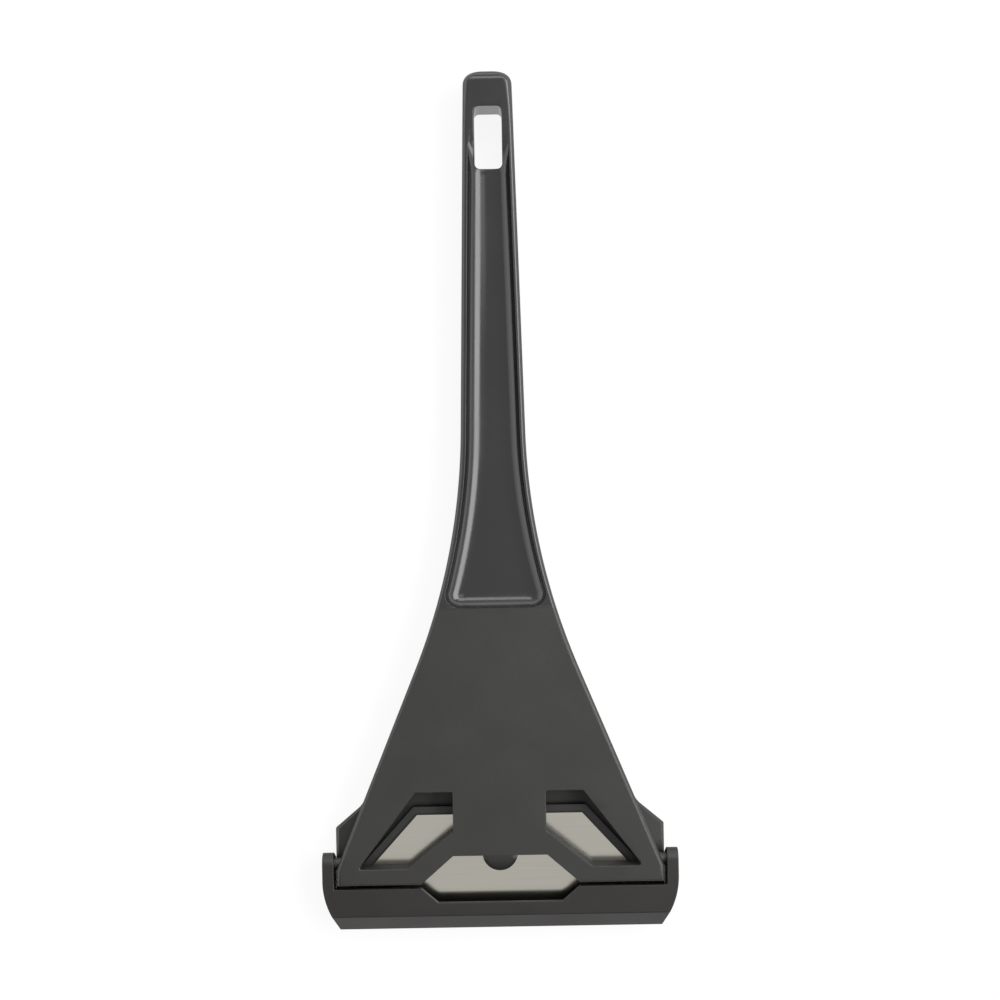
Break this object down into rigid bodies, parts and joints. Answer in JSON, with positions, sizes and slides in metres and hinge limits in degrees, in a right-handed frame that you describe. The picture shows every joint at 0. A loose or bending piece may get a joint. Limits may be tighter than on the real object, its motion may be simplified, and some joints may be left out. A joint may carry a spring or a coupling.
{
  "type": "ceramic hob scraper",
  "caption": "Flat long-handled scraper with a flared head, a trapezium steel blade and a guard that swings over its edge.",
  "frame": {"origin": "under the middle of the whole scraper, on the surface it lies on", "axes": "+Y along the handle towards its free end, +X across the head, +Z out of the front face"},
  "size_m": [0.0704, 0.1696, 0.0082],
  "materials": {
    "body_plastic": "dark grey moulded plastic, glossy in the handle and satin on the head",
    "blade_steel": "satin rolled steel with a ground edge",
    "guard_plastic": "dark grey satin moulded plastic"
  },
  "bodies": {
    "scraper": {"scraper_body": "body_plastic", "blade": "blade_steel"},
    "guard": {"blade_guard": "guard_plastic"}
  },
  "joints": [
    {"name": "guard_swing", "type": "hinge", "parent": "scraper", "child": "guard", "pos_m": [0, -0.0717, 0.0056], "axis": [-1, 0, 0], "range_deg": [0, 119]}
  ]
}
